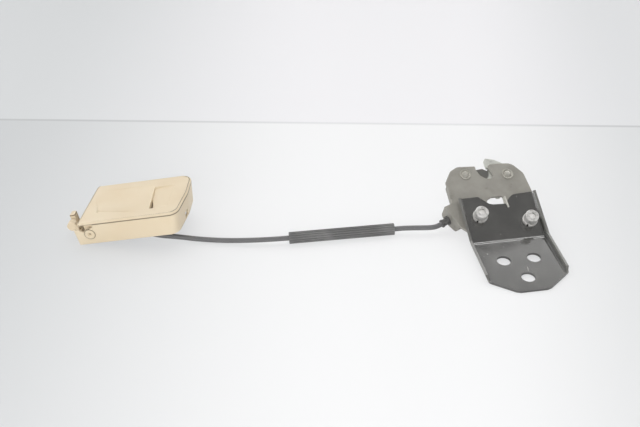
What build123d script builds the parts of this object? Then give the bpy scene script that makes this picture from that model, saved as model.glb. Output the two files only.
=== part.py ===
from build123d import *
from math import atan2, cos, degrees, pi, radians, sin, tan
import os

# A seat backrest latch on its mounting bracket, with the cable and the release handle that opens it.
# It lies unmounted on a table. The origin is the centre of the bracket's bolt circle, on its underside.

# Bracket
sheet = 2.4
bolt_circle = 34.0
bolt_hole = 13.0
bolt_count = 3
panel_half = 34.6
front_edge = -34.3
front_half = 13.5
chamfer_inner = 17.0
chamfer_start = -17.5
fold_y = 37.0
fold_angle = 25.0
fold_radius = 3.5
flange_angle = 58.0
flange_rise = 6.6
flange_foot = 34.4
flange_bend = 1.0
flange_start = -16.0
flange_round = 6.0
upper_end = 50.0
notch_v = 39.6
notch_left = -9.9
notch_right = 9.6
step_left = -19.1
step_right = 15.4
slit_clearance = 0.3

# Screws, washers and nuts: M8
thread = 8.0
screw_length = 18.0
head_diameter = 13.0
head_height = 8.0
hex_socket = 6.0
hex_depth = 4.0
washer_diameter = 14.6
washer_thickness = 2.2
washer_gap = 1.6
screw_hole = 9.0
nut_diameter = 15.0
nut_height = 6.5
left_screw = (-22.2, 28.0)
right_screw = (25.7, 18.5)

# Latch plates, claw and pawl
plate = 2.5
plate_bottom = 10.0
plate_round = 1.0
layer_gap = 0.3
claw_thickness = 4.2
back_plate_low = 61.0
wall_width = 2.4
rivet_shaft = 8.0
rivet_head = 10.5
rivet_dome = 1.3
pivot_fit = 0.05
pawl_pivot = (-25.0, 77.1)
claw_pivot = (17.7, 73.0)
claw_hub = 10.0
pawl_hub = 8.0
throat_radius = 18.5
throat_angle = 145.4
throat_width = 9.3
throat_turn = 150.0
claw_swing = 28.0
cam_radius = 21.0
cam_start = 208.5
cam_end = 246.0
cam_clearance = 0.3
tab_thickness = 1.4
tab_rise = 0.9
tab_low = (8.45, 34.6)
tab_high = (7.35, 46.9)
window_v = 49.0
window_left = -10.7
window_right = 6.7
window_bottom = 33.6

# Cable flange and cable ends at the latch
flange_fold = (-53.6, 43.8)
flange_length = 24.4
flange_depth = 19.6
cable_hole_along = 10.0
cable_depth = 12.5
casing_diameter = 5.0
wire_diameter = 1.5
wire_gap = 0.6
nipple_diameter = 4.4
nipple_gap = 0.3
ferrule_diameter = 7.0
ferrule_ring = 8.0
latch_ferrule_out = 8.0
latch_ferrule_in = 7.0
lug_thickness = 2.4
lug_width = 8.0
spring_coil = 5.6
spring_wire = 1.2
spring_turns = 6
spring_pin = 3.0
pawl_spring_pin = (-6.5, 55.6)
claw_spring_pin = (12.0, 56.6)

# Handle, in its own frame: x along, y away, z up, origin at the bottom corner that touches the table
handle_corner = (-408.2, 110.6)
handle_yaw = -14.0
handle_tilt = 10.5
handle_length = 105.5
handle_depth = 68.0
foot_length = 101.4
bulge = 3.6
seam_height = 21.5
seam_gap = 0.3
lid_thickness = 2.5
lid_roll = 1.7
lid_left = 5.3
wall = 2.0
corner_front = 9.0
corner_back = 12.0
hinge_x = 14.7
hinge_z = 10.8
hinge_diameter = 5.0
hinge_head = 10.4
hinge_head_height = 1.6
hinge_recess = 1.1
boss_diameter = 12.0
boss_length = 2.2
ear_width = 4.0
ear_gap = 0.4
lever_swing = 24.0
pull_radius = 8.5
pull_angle = 24.0
pull_y = 11.0
arm_width = 3.0
seat_depth = 3.5
handle_ferrule_start = 15.0
handle_ferrule_length = 18.0
rib_thickness = 2.4
rib_width = 17.0
clip_diameter = 9.0
clip_thickness = 0.8
dish_depth = 2.2
dish_radius = 190.0
pad_thickness = 2.6
scoop_left = 73.5
scoop_right = 93.5
scoop_front = 14.0
scoop_back = 51.0
scoop_depth = 9.0
pocket_depth = 12.0
lip_thickness = 1.9

# Cable: hand-chosen points of the casing's route between the two ferrules
sleeve_diameter = 11.6
sleeve_length = 103.0
sleeve_ribs = 16
rib_depth = 0.9
cable_points = [
    (-311.4, 101.0, 2.3),
    (-293.4, 95.6, 1.0),
    (-264.0, 87.6, 1.0),
    (-226.0, 78.8, 3.77),
    (-96.0, 74.9, 3.77),
    (-86.0, 72.1, 4.9),
    (-75.8, 70.2, 5.1),
    (-66.8, 69.1, 5.0),
]


def outline(corners):
    """Face of a polygon, each corner given as x, y and its radius."""
    points = [(x, y) for x, y, r in corners]
    return make_face(FilletPolyline(*points, radius=[r for x, y, r in corners], close=True))


def slab(face, low, thickness):
    """Face in plate coordinates, made solid from the height low upwards."""
    return extrude(Pos(0, 0, low) * face, thickness)


def around(centre, radius, angle):
    """Point on a circle, the angle in degrees."""
    return (centre[0] + radius * cos(radians(angle)), centre[1] + radius * sin(radians(angle)))


def rod(start, end, diameter):
    """Round bar between two points."""
    line = Line(start, end)
    return sweep(Plane(line @ 0, z_dir=line % 0) * Circle(diameter / 2), line)


# Levels in the latch's plate frame: w = 0 is the bracket's top face and the plates lie behind it
front_face = -sheet
front_back = front_face - plate
claw_front = front_back - layer_gap
claw_back = claw_front - claw_thickness
back_front = claw_back - layer_gap
back_back = back_front - plate
cable_level = front_face - cable_depth
spring_level = claw_back - layer_gap - spring_coil / 2
pin_low = spring_level - spring_wire

# Rest position: the bracket's front edge and the right screw's tip touch the table
tip_radius = thread / 2 - 0.8
tip_level = washer_thickness - screw_length
fold = radians(fold_angle)
tip_drop = -(sheet + (right_screw[1] - tip_radius) * sin(fold) + tip_level * cos(fold))
tip_reach = fold_y + (right_screw[1] - tip_radius) * cos(fold) - tip_level * sin(fold)
rest_tilt = degrees(atan2(tip_drop, tip_reach - front_edge))
table = front_edge * sin(radians(rest_tilt))

rest = Location((0, 0, 0), (rest_tilt, 0, 0))
upper = Plane((0, fold_y, sheet), x_dir=(1, 0, 0), z_dir=(0, -sin(fold), cos(fold)))
latch = rest * upper.location
handle = Pos(*handle_corner, table) * Rot(0, 0, handle_yaw) * Rot(0, -handle_tilt, 0)


def mounting_bracket():
    """Two folded panels with splayed side flanges."""
    bend = radians(flange_angle)
    run = (flange_rise + sheet / 2) / tan(bend)
    tip = (flange_foot + run, flange_rise + sheet / 2)
    section_line = FilletPolyline(
        (-tip[0], tip[1]), (-flange_foot, 0), (flange_foot, 0), tip, radius=flange_bend + sheet / 2)
    section = trace(section_line, line_width=sheet)
    length = fold_y - front_edge
    lower = extrude(Plane((0, fold_y + 20, sheet / 2), x_dir=(1, 0, 0), z_dir=(0, -1, 0)) * section, length + 20)
    raised = extrude(Plane((0, -20, -sheet / 2), x_dir=(1, 0, 0), z_dir=(0, -1, 0)) * section, -upper_end - 25)
    raised = upper.location * raised
    mitre = Plane((0, fold_y, sheet), x_dir=(1, 0, 0), z_dir=(0, cos(fold / 2), sin(fold / 2)))
    half = Pos(0, 0, 100) * Box(200, 200, 200)
    body = (lower - mitre.location * half) + (raised & mitre.location * half)
    reach = fold_radius * tan(fold / 2)
    corner = make_face(Polyline((-reach, 0), (0, 0), (reach * cos(fold), reach * sin(fold)), close=True))
    corner -= Pos(-reach, fold_radius) * Circle(fold_radius)
    side = Plane((0, fold_y, sheet), x_dir=(0, 1, 0), z_dir=(1, 0, 0))
    body += extrude(side * corner, flange_foot - sheet / 2 - flange_bend, both=True)
    plan = outline([
        (-60, chamfer_start, 0), (-panel_half, chamfer_start, 1), (-chamfer_inner, front_edge + 1.6, 6),
        (-front_half + 1, front_edge, 3), (front_half - 1, front_edge, 3), (chamfer_inner, front_edge + 1.6, 6),
        (panel_half, chamfer_start, 1), (60, chamfer_start, 0), (60, 150, 0), (-60, 150, 0)])
    body &= extrude(Pos(0, 0, -5) * plan, 80)
    end_cut = outline([
        (front_edge - 5, sheet + 0.05, 0), (flange_start, sheet + 0.05, flange_round),
        (flange_start + 5, sheet + flange_rise + 3, 0), (front_edge - 5, sheet + flange_rise + 3, 0)])
    body -= extrude(Plane.YZ * end_cut, 60, both=True)
    slope = (tab_high[0] - tab_low[0]) / (tab_high[1] - tab_low[1])
    slit_half = tab_thickness / 2 + slit_clearance
    slit_foot = tab_low[1] - slit_clearance
    slit_mouth = tab_low[0] + slope * (notch_v - tab_low[1])
    top = outline([
        (-70, upper_end - 1, 0), (step_left, upper_end - 0.8, 2), (notch_left, notch_v + 1.2, 2),
        (notch_left + 4, notch_v, 2), (slit_mouth - slit_half, notch_v - 0.6, 0.6),
        (tab_low[0] - slit_half, slit_foot, 0), (tab_low[0] + slit_half, slit_foot, 0),
        (slit_mouth + slit_half, notch_v - 0.6, 0), (notch_right, notch_v + 3.4, 1.5),
        (step_right, upper_end - 2, 2), (step_right + 3, upper_end - 1.4, 2), (70, upper_end + 1.6, 0),
        (70, 120, 0), (-70, 120, 0)])
    body -= upper.location * slab(top, -10, 40)
    for k in range(bolt_count):
        x, y = around((0, 0), bolt_circle / 2, 30 + 360 / bolt_count * k)
        body -= Pos(x, y, sheet / 2) * Cylinder(bolt_hole / 2, sheet * 2)
    for u, v in (left_screw, right_screw):
        body -= upper.location * (Pos(u, v, -sheet / 2) * Cylinder(screw_hole / 2, sheet * 2))
    return rest * body


def mouth_edge():
    """Corners of the striker mouth, shared by both plates."""
    return [(-13.0, 85.6, 1.5), (-13.0, 81.5, 4), (-10.2, 74.6, 4), (-4.6, 70.3, 4), (3.8, 70.3, 3.2),
            (-2.2, 86.2, 4.2)]


cable_angle = degrees(atan2(-0.914, 0.41))
fold_dir = (cos(radians(cable_angle)), sin(radians(cable_angle)))
cable_out = (fold_dir[1], -fold_dir[0])
cable_root = (flange_fold[0] + cable_hole_along * fold_dir[0], flange_fold[1] + cable_hole_along * fold_dir[1])


def at_root(distance):
    """Point on the cable's line at the latch, measured outward from the cable flange's outer face."""
    return (cable_root[0] + distance * cable_out[0], cable_root[1] + distance * cable_out[1], cable_level)


def along_cable(distance):
    """Plane across the cable's line at the latch, its normal pointing out."""
    return Plane(at_root(distance), x_dir=(*fold_dir, 0), z_dir=(*cable_out, 0))


def lock_plate():
    """Front plate with mouth, window, locating tab and the flange that holds the cable."""
    flange_end = (flange_fold[0] + flange_length * fold_dir[0], flange_fold[1] + flange_length * fold_dir[1])
    face = outline([
        (-46.8, 70.5, 5), (-39.6, 82.4, 6), (-31.5, 86.8, 8)] + mouth_edge() + [
        (10.0, 86.5, 14), (24.6, 85.4, 12), (34.4, 72.8, 9), (38.0, 50.0, 8), (36.0, 20.0, 8),
        (31.0, plate_bottom, 4), (-32.0, plate_bottom, 6), (flange_end[0] + 0.3, flange_end[1] - 1.0, 3),
        (flange_end[0], flange_end[1], 0), (flange_fold[0], flange_fold[1], 0), (-47.0, 46.2, 4), (-45.6, 50.6, 6)])
    body = slab(face, front_back, plate)
    body = fillet(body.faces().sort_by(Axis.Z)[-1].edges(), plate_round)
    window = outline([
        (window_left, window_v - 3, 4), (window_left + 5.6, window_v, 3), (window_right, window_v, 1.5),
        (window_right, window_bottom, 2), (window_left, window_bottom, 2)])
    body -= slab(window, front_back - 1, plate + 2)
    tab = trace(Line(tab_low, tab_high), line_width=tab_thickness)
    body += slab(tab, front_back, plate + sheet + tab_rise)
    side = Plane((*flange_fold, front_face), x_dir=(*fold_dir, 0), z_dir=(*cable_out, 0))
    flange = outline([
        (0, -plate_round, 0), (0.4, -flange_depth + 1, 5), (12, -flange_depth, 12), (flange_length - 1.6, -15.6, 5),
        (flange_length + 1.4, -7.0, 4), (flange_length, -plate_round, 0)])
    flange -= Pos(cable_hole_along, -cable_depth) * Circle(ferrule_diameter / 2 - 0.6)
    body += side.location * extrude(flange, -plate)
    for u, v in (left_screw, right_screw):
        body -= Pos(u, v, front_back) * Cylinder(screw_hole / 2, plate * 3)
    for u, v in (pawl_pivot, claw_pivot):
        body -= Pos(u, v, front_back) * Cylinder(rivet_shaft / 2, plate * 3)
    return latch * body


def back_plate():
    """Rear plate with its bent side walls, open below the pivots for the spring and the lugs."""
    face = outline([
        (-45.6, 68.0, 5), (-38.6, 80.6, 6), (-31.0, 84.8, 8)] + mouth_edge() + [
        (9.0, 84.6, 14), (23.0, 83.6, 12), (32.4, 71.6, 9), (35.6, 50.0, 6), (35.4, 46.0, 3),
        (25.0, 46.0, 3), (25.0, back_plate_low, 3), (-24.0, back_plate_low, 3), (-25.6, 46.0, 3),
        (-33.0, 43.0, 3), (-44.4, 43.0, 2)])
    body = slab(face, back_back, plate)
    left = outline([(-45.6, 67.4, 1), (-44.4, 44.6, 1), (-44.4 + wall_width, 44.6, 1), (-45.6 + wall_width, 67.4, 1)])
    right = outline([(32.8, 69.6, 1), (35.5, 48.0, 1), (35.5 - wall_width, 48.0, 1), (32.8 - wall_width, 69.6, 1)])
    for side in (left, right):
        body += slab(side, back_front - 0.5, front_back - back_front + 0.5)
    for u, v in (pawl_pivot, claw_pivot):
        body -= Pos(u, v, back_back) * Cylinder(rivet_shaft / 2, plate * 3)
    return latch * body


def claw():
    """Rotating hook, standing open: leading arm, throat, trailing arm and the cam the pawl rests on."""
    centre = around(claw_pivot, throat_radius, throat_angle)
    face = outline([
        (0.2, 90.4, 0.6), (1.2, 94.6, 1.6), (13.5, 88.6, 6), (24.0, 84.0, 9), (29.0, 72.0, 9),
        around(claw_pivot, cam_radius + 0.6, cam_end + 14) + (3,), around(claw_pivot, cam_radius - 2, cam_end + 3) + (1,),
        around(claw_pivot, cam_radius * 0.72, cam_start + 22) + (0,),
        around(claw_pivot, cam_radius * 0.72, cam_start) + (1,),
        (-3.2, 69.6, 2), (-13.4, 74.4, 2), (-14.6, 79.0, 1.6), (-12.4, 82.5, 2), (-5.7, 83.1, 0.6)]
        + [around(centre, throat_width / 2, throat_turn + 90) + (0,), around(centre, throat_width / 2, throat_turn - 90) + (0,)])
    face += Pos(*claw_pivot) * Circle(claw_hub)
    sector = make_face(
        Polyline(around(claw_pivot, cam_radius, cam_start), claw_pivot, around(claw_pivot, cam_radius, cam_end))
        + CenterArc(claw_pivot, cam_radius, cam_start, cam_end - cam_start))
    face += sector
    face -= Pos(*centre) * Circle(throat_width / 2)
    face -= Pos(*claw_pivot) * Circle(rivet_shaft / 2 + pivot_fit)
    body = slab(face, claw_back, claw_thickness)
    body += Pos(*claw_spring_pin, (claw_back + pin_low) / 2 + 0.5) * Cylinder(spring_pin / 2, claw_back - pin_low + 1)
    return latch * body


def pawl():
    """Locking arm: hub, elbow, tip on the claw's cam and the lug that the cable's nipple pulls."""
    tip_low = around(claw_pivot, cam_radius + cam_clearance, 229)
    tip_high = around(claw_pivot, cam_radius + cam_clearance, 237)
    face = outline([
        (-32.6, 76.0, 4), (-31.0, 58.0, 8), (-26.0, 46.0, 5), (-17.0, 46.0, 2), (-12.0, 52.4, 3), (0.5, 52.4, 2),
        (2.0, 49.8, 1), (6.2, 50.0, 1), tip_high + (0.6,), tip_low + (0.6,), (-19.5, 58.2, 3), (-18.0, 76.0, 4)])
    face += Pos(*pawl_pivot) * Circle(pawl_hub)
    face -= Pos(*claw_pivot) * Circle(cam_radius + cam_clearance)
    face -= Pos(*pawl_pivot) * Circle(rivet_shaft / 2 + pivot_fit)
    body = slab(face, claw_back, claw_thickness)
    body += Pos(*pawl_spring_pin, (claw_back + pin_low) / 2 + 0.5) * Cylinder(spring_pin / 2, claw_back - pin_low + 1)
    lug_at = along_cable(nipple_at_rest + nipple_diameter / 2 + nipple_gap)
    lug_low = cable_level - 4.0
    lug_face = Pos(0, (claw_front + lug_low) / 2 - cable_level) * RectangleRounded(lug_width, claw_front - lug_low, 1)
    lug_face -= Circle(wire_diameter / 2 + wire_gap)
    body += lug_at.location * extrude(lug_face, lug_thickness)
    return latch * body


pull_arm = abs((pawl_pivot[0] - cable_root[0]) * cable_out[1] - (pawl_pivot[1] - cable_root[1]) * cable_out[0])
pull_travel = 2 * pull_radius * sin(radians(lever_swing / 2))
pull_foot = (pawl_pivot[0] - cable_root[0]) * cable_out[0] + (pawl_pivot[1] - cable_root[1]) * cable_out[1]
nipple_at_rest = pull_foot - pull_travel / 2


def rivet(centre):
    """Shouldered rivet with a domed front head and a flat rear head."""
    radius = rivet_head / 2
    rear = back_back - rivet_dome
    ball = (radius ** 2 + rivet_dome ** 2) / (2 * rivet_dome)
    profile = make_face(
        Polyline((0, rear), (radius - 1, rear), (radius - 1, back_back), (rivet_shaft / 2, back_back),
                 (rivet_shaft / 2, front_face), (radius, front_face))
        + RadiusArc((radius, front_face), (0, front_face + rivet_dome), -ball)
        + Line((0, front_face + rivet_dome), (0, rear)))
    return latch * (Pos(*centre, 0) * revolve(Plane.XZ * profile, Axis.Z))


def pair(piece):
    """The same piece at both screws."""
    return Part() + [Pos(u, v, 0) * piece for u, v in (left_screw, right_screw)]


def cap_screws():
    """Two socket head cap screws, their tips chamfered."""
    chamfer = thread / 2 - tip_radius
    profile = make_face(Polyline(
        (0, tip_level), (tip_radius, tip_level), (thread / 2, tip_level + chamfer), (thread / 2, washer_thickness),
        (head_diameter / 2, washer_thickness), (head_diameter / 2, washer_thickness + head_height - 0.6),
        (head_diameter / 2 - 0.6, washer_thickness + head_height), (0, washer_thickness + head_height), close=True))
    screw = revolve(Plane.XZ * profile, Axis.Z)
    socket = RegularPolygon(hex_socket / 2, 6, major_radius=False)
    screw -= slab(socket, washer_thickness + head_height - hex_depth, hex_depth + 1)
    return latch * pair(screw)


def spring_washers():
    """Two split spring washers, the split at the lower left."""
    ring = Circle(washer_diameter / 2) - Circle(thread / 2 + 0.2)
    ring -= Rot(0, 0, 235) * (Pos(washer_diameter / 4 + 1, 0) * Rectangle(washer_diameter / 2, washer_gap))
    washer = slab(ring, 0, washer_thickness)
    return latch * pair(washer)


def weld_nuts():
    """Two round weld nuts behind the lock plate, round the screws."""
    ring = Circle(nut_diameter / 2) - Circle(thread / 2)
    nut = slab(ring, front_back - nut_height, nut_height)
    nut = chamfer(nut.faces().sort_by(Axis.Z)[0].edges().sort_by(SortBy.LENGTH)[-1:], 0.8)
    return latch * pair(nut)


def ferrule_profile(low, high, collar, collar_width, ring_end):
    """Half section of a hollow ferrule along its axis, closed round the casing end."""
    outer = ferrule_diameter / 2
    bore = wire_diameter / 2 + wire_gap
    return make_face(Polyline(
        (bore, low), (outer - 0.6, low), (outer - 0.6, collar), (outer + 1.2, collar),
        (outer + 1.2, collar + collar_width), (outer, collar + collar_width), (outer, high - ring_end),
        (ferrule_ring / 2, high - ring_end), (ferrule_ring / 2, high), (0, high), (0, high - 1), (bore, high - 1),
        close=True))


def latch_ferrule():
    """Cable end fitting through the cable flange."""
    profile = ferrule_profile(-latch_ferrule_in, latch_ferrule_out, 0, 1.4, 1.4)
    return latch * (along_cable(0).location * revolve(Plane.XZ * profile, Axis.Z))


def latch_core_wire():
    """End of the core wire between the ferrule's bore and the nipple."""
    return latch * rod(at_root(latch_ferrule_out - 1.5 - pull_travel), at_root(nipple_at_rest + 1), wire_diameter)


def latch_nipple():
    """Ball on the wire's end, behind the pawl's lug."""
    ball = Pos(*at_root(nipple_at_rest)) * Sphere(nipple_diameter / 2)
    ball -= rod(at_root(nipple_at_rest + 1), at_root(nipple_at_rest + nipple_diameter), wire_diameter)
    return latch * ball


def latch_spring():
    """Extension spring between the pawl's pin and the claw's pin, with a loop at each end."""
    start = Vector(*pawl_spring_pin, spring_level)
    end = Vector(*claw_spring_pin, spring_level)
    axis = (end - start).normalized()
    loop = spring_pin / 2 + spring_wire / 2 + 0.15
    coil_radius = spring_coil / 2 - spring_wire / 2
    inner = loop + spring_wire
    first = start + axis * inner
    last = end - axis * inner
    length = (last - first).length
    helix = Helix(length / spring_turns, length, coil_radius)
    coil = sweep(Plane(helix @ 0, z_dir=helix % 0) * Circle(spring_wire / 2), helix, is_frenet=True)
    coil = Plane(first, x_dir=(0, 0, 1), z_dir=axis).location * coil
    hook = Torus(loop, spring_wire / 2)
    return latch * (Part() + coil + Pos(*start) * hook + Pos(*end) * hook)


# Cable's line inside the handle: the nipple's middle position is square to the pull
pull_mid = (hinge_x + pull_radius * sin(radians(pull_angle)), hinge_z + pull_radius * cos(radians(pull_angle)))
pull_dir = (cos(radians(pull_angle)), -sin(radians(pull_angle)))


def on_pull(distance):
    """Point on the cable's line in the handle, measured from the nipple's middle position."""
    return (pull_mid[0] + distance * pull_dir[0], pull_y, pull_mid[1] + distance * pull_dir[1])


def across_pull(distance):
    """Plane across the cable's line in the handle, its normal pointing to the cable."""
    return Plane(on_pull(distance), x_dir=(0, 1, 0), z_dir=(pull_dir[0], 0, pull_dir[1]))


def housing_outline(grow, length, depth, left):
    """Plan of the housing, grown or shrunk by one distance."""
    return outline([
        (left - grow, -grow, max(2.5 + grow, 0.5)), (length + grow, -grow, corner_front + grow),
        (length + bulge + grow, depth * 0.52, 40), (length + bulge * 0.6 + grow, depth + grow, corner_back + grow),
        (left + grow * -1 + 1.2, depth + grow, max(4 + grow, 1))])


def lid_outline(grow):
    """Plan of the lid at the seam."""
    return outline([
        (lid_left - grow, -grow, 2.5 + grow), (handle_length + grow, -grow, corner_front + grow),
        (handle_length + bulge + grow, handle_depth * 0.52, 40),
        (handle_length + bulge * 0.6 + grow, handle_depth + grow, corner_back + grow),
        (lid_left + 1.5 - grow, handle_depth + grow, 4 + grow)])


def handle_housing():
    """Moulded housing, open below: tapered walls, hinge bosses, cable rib and the two ears at its end."""
    top = seam_height - seam_gap
    depth = handle_depth - 1.0
    outer = loft([housing_outline(0, foot_length, depth, 0), Pos(0, 0, top) * housing_outline(0, handle_length, depth, -1.0)],
                 ruled=True)
    inner = loft([Pos(0, 0, -1) * housing_outline(-wall, foot_length - 0.2, depth, 0),
                  Pos(0, 0, top + 1) * housing_outline(-wall, handle_length + 0.2, depth, -1.0)], ruled=True)
    body = outer - inner
    swing_cut = outline([
        (-20, 16.2, 0), (5.4, 16.2, 0), (9.4, 13.4, 1), (hinge_x + 5.0, 18.2, 1), (hinge_x + 5.4, top + 2, 0),
        (-20, top + 2, 0)])
    body -= Plane((0, 0, 0), x_dir=(1, 0, 0), z_dir=(0, -1, 0)) * extrude(swing_cut, -200)
    tail_cut = Pos(-2, depth / 2, 9.6 + 20) * Box(12, depth - 2 * wall - 2, 40)
    body -= tail_cut
    boss = Rot(-90, 0, 0) * Cylinder(boss_diameter / 2, boss_length, align=(Align.CENTER, Align.CENTER, Align.MIN))
    body += Pos(hinge_x, wall - 0.2, hinge_z) * boss
    body += Pos(hinge_x, depth - wall + 0.2 - boss_length, hinge_z) * boss
    rib = across_pull(handle_ferrule_start + 4.0)
    web = Pos(rib_width / 2 - pull_y + wall - 0.5, -1.0) * Rectangle(rib_width, 17)
    web = rib.location * extrude(web - Circle(ferrule_diameter / 2 - 0.55), rib_thickness)
    body += web & outer
    body -= Pos(hinge_x, depth / 2, hinge_z) * (Rot(90, 0, 0) * Cylinder(hinge_diameter / 2 + pivot_fit, depth + 10))
    recess = Rot(90, 0, 0) * Cylinder(hinge_head / 2 + 0.3, hinge_recess * 2)
    body -= Pos(hinge_x, 0, hinge_z) * recess
    slot = Pos(foot_length + 2, 27.0, 5.0) * Box(9, 8.0, 6.0)
    body -= slot
    lobe = Pos(-8.6, 14.6, 11.8) * (Rot(90, 0, 0) * Cylinder(6.0, 8.0))
    lobe += Pos(-4.0, 14.6, 9.2) * Box(9.0, 8.0, 6.8)
    block = Pos(-5.6, 25.6, 7.8) * Box(12.6, 8.6, 3.4)
    block += fillet((Pos(-8.4, 25.6, 14.4) * Box(6.4, 8.6, 16.6)).edges().filter_by(Axis.Y), 1.6)
    body += lobe
    body += block
    return handle * body


def release_lever():
    """Lid and pull handle in one: dished paddle, finger scoop with its pocket, hinge ears and the nipple arm."""
    top = seam_height + lid_thickness
    body = slab(lid_outline(0), seam_height, lid_thickness)
    body = fillet(body.faces().sort_by(Axis.Z)[-1].edges(), lid_roll)
    pad = outline([(12.0, 15.0, 4), (60.0, 10.0, 4), (60.0, 57.0, 4), (12.0, 57.0, 4)])
    body += slab(pad, seam_height - pad_thickness, pad_thickness)
    floor = top - scoop_depth
    tub = outline([
        (scoop_left - pocket_depth - 2, seam_height, 0), (scoop_left - pocket_depth - 2, floor - 2.4, 1.5),
        (scoop_left, floor - 2.0, 4), (scoop_right + 3, seam_height, 0)])
    side = Plane((0, scoop_front - 2, 0), x_dir=(1, 0, 0), z_dir=(0, -1, 0))
    body += side.location * extrude(tub, scoop_front - scoop_back - 4)
    paddle = outline([
        (11.0, 18.8, 3), (21.5, 18.5, 0.5), (46.0, 13.5, 20), (63.3, 10.3, 3), (scoop_left - 0.5, 13.0, 2),
        (scoop_left - 0.5, 56.0, 4), (11.0, 56.0, 6)])
    dish = Plane((40, 36, top + dish_radius - dish_depth * 0.7), x_dir=(1, 0, 0), z_dir=(0, -cos(0.035), sin(0.035)))
    body -= slab(paddle, top - 5, 10) & (dish.location * Cylinder(dish_radius, 140))
    scoop_line = [(scoop_left - 1.2, scoop_front), (scoop_left + 0.8, (scoop_front + scoop_back) / 2),
                  (scoop_left - 1.4, scoop_back)]
    scoop = make_face(
        ThreePointArc(*scoop_line)
        + FilletPolyline(scoop_line[-1], (scoop_right, scoop_back), (scoop_right, scoop_front + 2), scoop_line[0],
                         radius=[6, 6]))
    wedge = outline([
        (scoop_left - 8, floor - 0.4, 0), (scoop_left, floor, 5), (scoop_right, top + 0.2, 0),
        (scoop_left - 8, top + 6, 0)])
    wedge = Plane((0, 0, 0), x_dir=(1, 0, 0), z_dir=(0, -1, 0)).location * extrude(wedge, -90)
    body -= slab(scoop, floor - 3, 15) & wedge
    pocket = outline([
        (scoop_left - pocket_depth, floor - 0.4, 1.5), (scoop_left + 2, floor, 0), (scoop_left + 4, top - lip_thickness, 0),
        (scoop_left - pocket_depth, top - lip_thickness - 0.6, 1.5)])
    pocket_plane = Plane((0, scoop_front + 0.6, 0), x_dir=(1, 0, 0), z_dir=(0, -1, 0))
    body -= pocket_plane.location * extrude(pocket, -(scoop_back - scoop_front - 1.2))
    ear = outline([
        (hinge_x - 6.0, seam_height + 0.5, 0), (hinge_x - 5.0, hinge_z - 5.0, 4.9), (hinge_x + 5.0, hinge_z - 5.0, 4.9),
        (hinge_x + 12.0, seam_height + 0.5, 0)])
    front_ear = wall + boss_length + ear_gap
    back_ear = handle_depth - 1.0 - wall - boss_length - ear_gap - ear_width
    for y in (front_ear, back_ear):
        body += Plane((0, y, 0), x_dir=(1, 0, 0), z_dir=(0, -1, 0)).location * extrude(ear, -ear_width)
    hold = outline([
        (hinge_x - 2.0, hinge_z + 2.0, 0), (hinge_x + 6.6, hinge_z - 1.0, 2), (hinge_x + 10.4, seam_height + 0.5, 0),
        (hinge_x - 2.0, seam_height + 0.5, 0)])
    hold_y = pull_y - arm_width - nipple_diameter / 2
    hold_plane = Plane((0, hold_y, 0), x_dir=(1, 0, 0), z_dir=(0, -1, 0))
    body += hold_plane.location * extrude(hold, -(2 * arm_width + nipple_diameter))
    body -= Pos(hinge_x, handle_depth / 2, hinge_z) * (
        Rot(90, 0, 0) * Cylinder(hinge_diameter / 2 + pivot_fit, handle_depth * 2))
    nipple = rest_nipple()
    seat = nipple_diameter / 2 + nipple_gap
    body -= Pos(*nipple) * Sphere(seat)
    body -= rod(nipple, Vector(*nipple) - Vector(pull_dir[0], 0, pull_dir[1]) * seat_depth, 2 * seat)
    body -= Pos(nipple[0] + 6, pull_y, nipple[2] - 2) * Box(12, wire_diameter + 2 * wire_gap, 12)
    return handle * body


def rest_nipple():
    """Centre of the nipple in the handle with the lever down."""
    return on_pull(pull_travel / 2)


def handle_ferrule():
    """Cable end fitting in the housing's rib."""
    profile = ferrule_profile(0, handle_ferrule_length, 4.0 + rib_thickness, 1.4, 1.4)
    return handle * (across_pull(handle_ferrule_start).location * revolve(Plane.XZ * profile, Axis.Z))


def handle_core_wire():
    """End of the core wire between the lever's nipple and the ferrule's bore."""
    end = handle_ferrule_start + handle_ferrule_length - 1.5
    return handle * rod(on_pull(pull_travel / 2 + 1), on_pull(end), wire_diameter)


def handle_nipple():
    """Ball on the wire's end, in the lever's arm."""
    ball = Pos(*rest_nipple()) * Sphere(nipple_diameter / 2)
    ball -= rod(on_pull(pull_travel / 2 + 1), on_pull(pull_travel / 2 + nipple_diameter), wire_diameter)
    return handle * ball


def hinge_pin():
    """Pin through the housing and both ears, with a dished head in the front recess."""
    head = hinge_head / 2
    shaft = hinge_diameter / 2
    end = handle_depth - 1.0 + clip_thickness + 1.6
    groove = handle_depth - 1.0 + 0.1
    profile = make_face(Polyline(
        (0, 0.5), (1.6, 0.5), (2.2, hinge_recess - hinge_head_height), (head - 0.5, hinge_recess - hinge_head_height),
        (head, hinge_recess - hinge_head_height + 0.5), (head, hinge_recess), (shaft, hinge_recess), (shaft, groove),
        (shaft - 0.7, groove), (shaft - 0.7, groove + clip_thickness), (shaft, groove + clip_thickness), (shaft, end),
        (0, end), close=True))
    body = revolve(Plane.XY * profile, Axis.Y)
    return handle * (Pos(hinge_x, 0, hinge_z) * body)


def pin_clip():
    """Open clip in the pin's groove, behind the back wall."""
    ring = Circle(clip_diameter / 2) - Circle(hinge_diameter / 2 - 0.7)
    ring -= Pos(0, -clip_diameter / 2) * Rectangle(2.6, clip_diameter)
    plane = Plane((hinge_x, handle_depth - 1.0 + 0.1, hinge_z), x_dir=(-1, 0, 0), z_dir=(0, 1, 0))
    return handle * (plane.location * extrude(ring, clip_thickness))


def lever_spring():
    """Torsion spring round the pin, between the front ear and the middle."""
    start = handle_depth * 0.55
    helix = Helix(1.9, 1.9 * 4, hinge_diameter / 2 + 1.4)
    coil = sweep(Plane(helix @ 0, z_dir=helix % 0) * Circle(0.7), helix, is_frenet=True)
    return handle * (Plane((hinge_x, start, hinge_z), x_dir=(1, 0, 0), z_dir=(0, 1, 0)).location * coil)


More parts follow.
